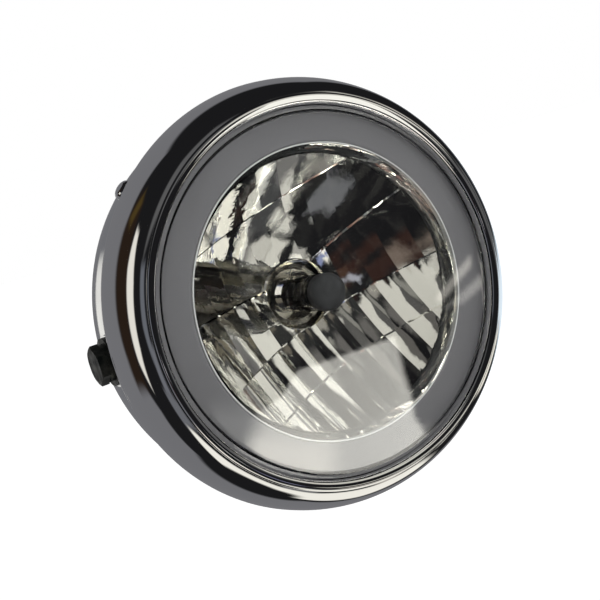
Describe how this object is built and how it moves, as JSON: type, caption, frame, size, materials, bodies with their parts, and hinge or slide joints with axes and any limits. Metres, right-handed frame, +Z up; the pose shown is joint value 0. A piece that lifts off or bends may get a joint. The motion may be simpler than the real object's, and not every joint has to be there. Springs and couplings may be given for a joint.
{
  "type": "round motorcycle headlight",
  "caption": "Round chrome headlight with a domed clear lens, a faceted mirror reflector, a halogen bulb and a bowl-shaped shell on two side bolts.",
  "frame": {"origin": "on the lamp's axis, level with the two side bolts that carry it", "axes": "the lamp shines along -Y, the side bolts lie along +X and -X, +Z is up"},
  "size_m": [0.2078, 0.1394, 0.2],
  "materials": {
    "rim_chrome": "mirror chrome plate",
    "shell_chrome": "chrome plate",
    "lens_glass": "clear polished glass",
    "bulb_clear": "clear quartz glass",
    "reflector_mirror": "vacuum metallised",
    "trim_grey": "satin grey paint",
    "rubber_black": "matt moulded rubber",
    "zinc_steel": "zinc plated",
    "spring_steel": "bright spring steel",
    "bolt_steel": "dark passivated steel",
    "collar_metal": "pressed and plated",
    "cap_black": "matt black heat coating",
    "base_plastic": "moulded",
    "terminal_brass": "tinned brass",
    "tungsten": "coiled wire"
  },
  "bodies": {
    "root": {"rim": "rim_chrome", "rim_hook": "zinc_steel", "rim_lug": "zinc_steel", "rim_nut": "zinc_steel", "rim_screw": "rim_chrome", "bucket": "shell_chrome", "lens": "lens_glass", "lens_seal": "rubber_black", "trim_ring": "trim_grey", "reflector": "reflector_mirror", "retaining_clips": "spring_steel", "bulb_flange": "collar_metal", "bulb_collar": "collar_metal", "bulb_glass": "bulb_clear", "bulb_cap": "cap_black", "bulb_shield": "collar_metal", "bulb_filaments": "tungsten", "bulb_supports": "spring_steel", "bulb_base": "base_plastic", "bulb_terminals": "terminal_brass", "bulb_clip": "spring_steel", "dust_boot": "rubber_black", "left_boss": "shell_chrome", "left_washer": "zinc_steel", "left_spring_washer": "zinc_steel", "left_bolt": "bolt_steel", "left_nut": "zinc_steel", "right_boss": "shell_chrome", "right_washer": "zinc_steel", "right_spring_washer": "zinc_steel", "right_bolt": "bolt_steel", "right_nut": "zinc_steel", "dome_screw": "rim_chrome", "dome_nut": "zinc_steel", "wiring_grommet": "rubber_black"}
  },
  "joints": []
}
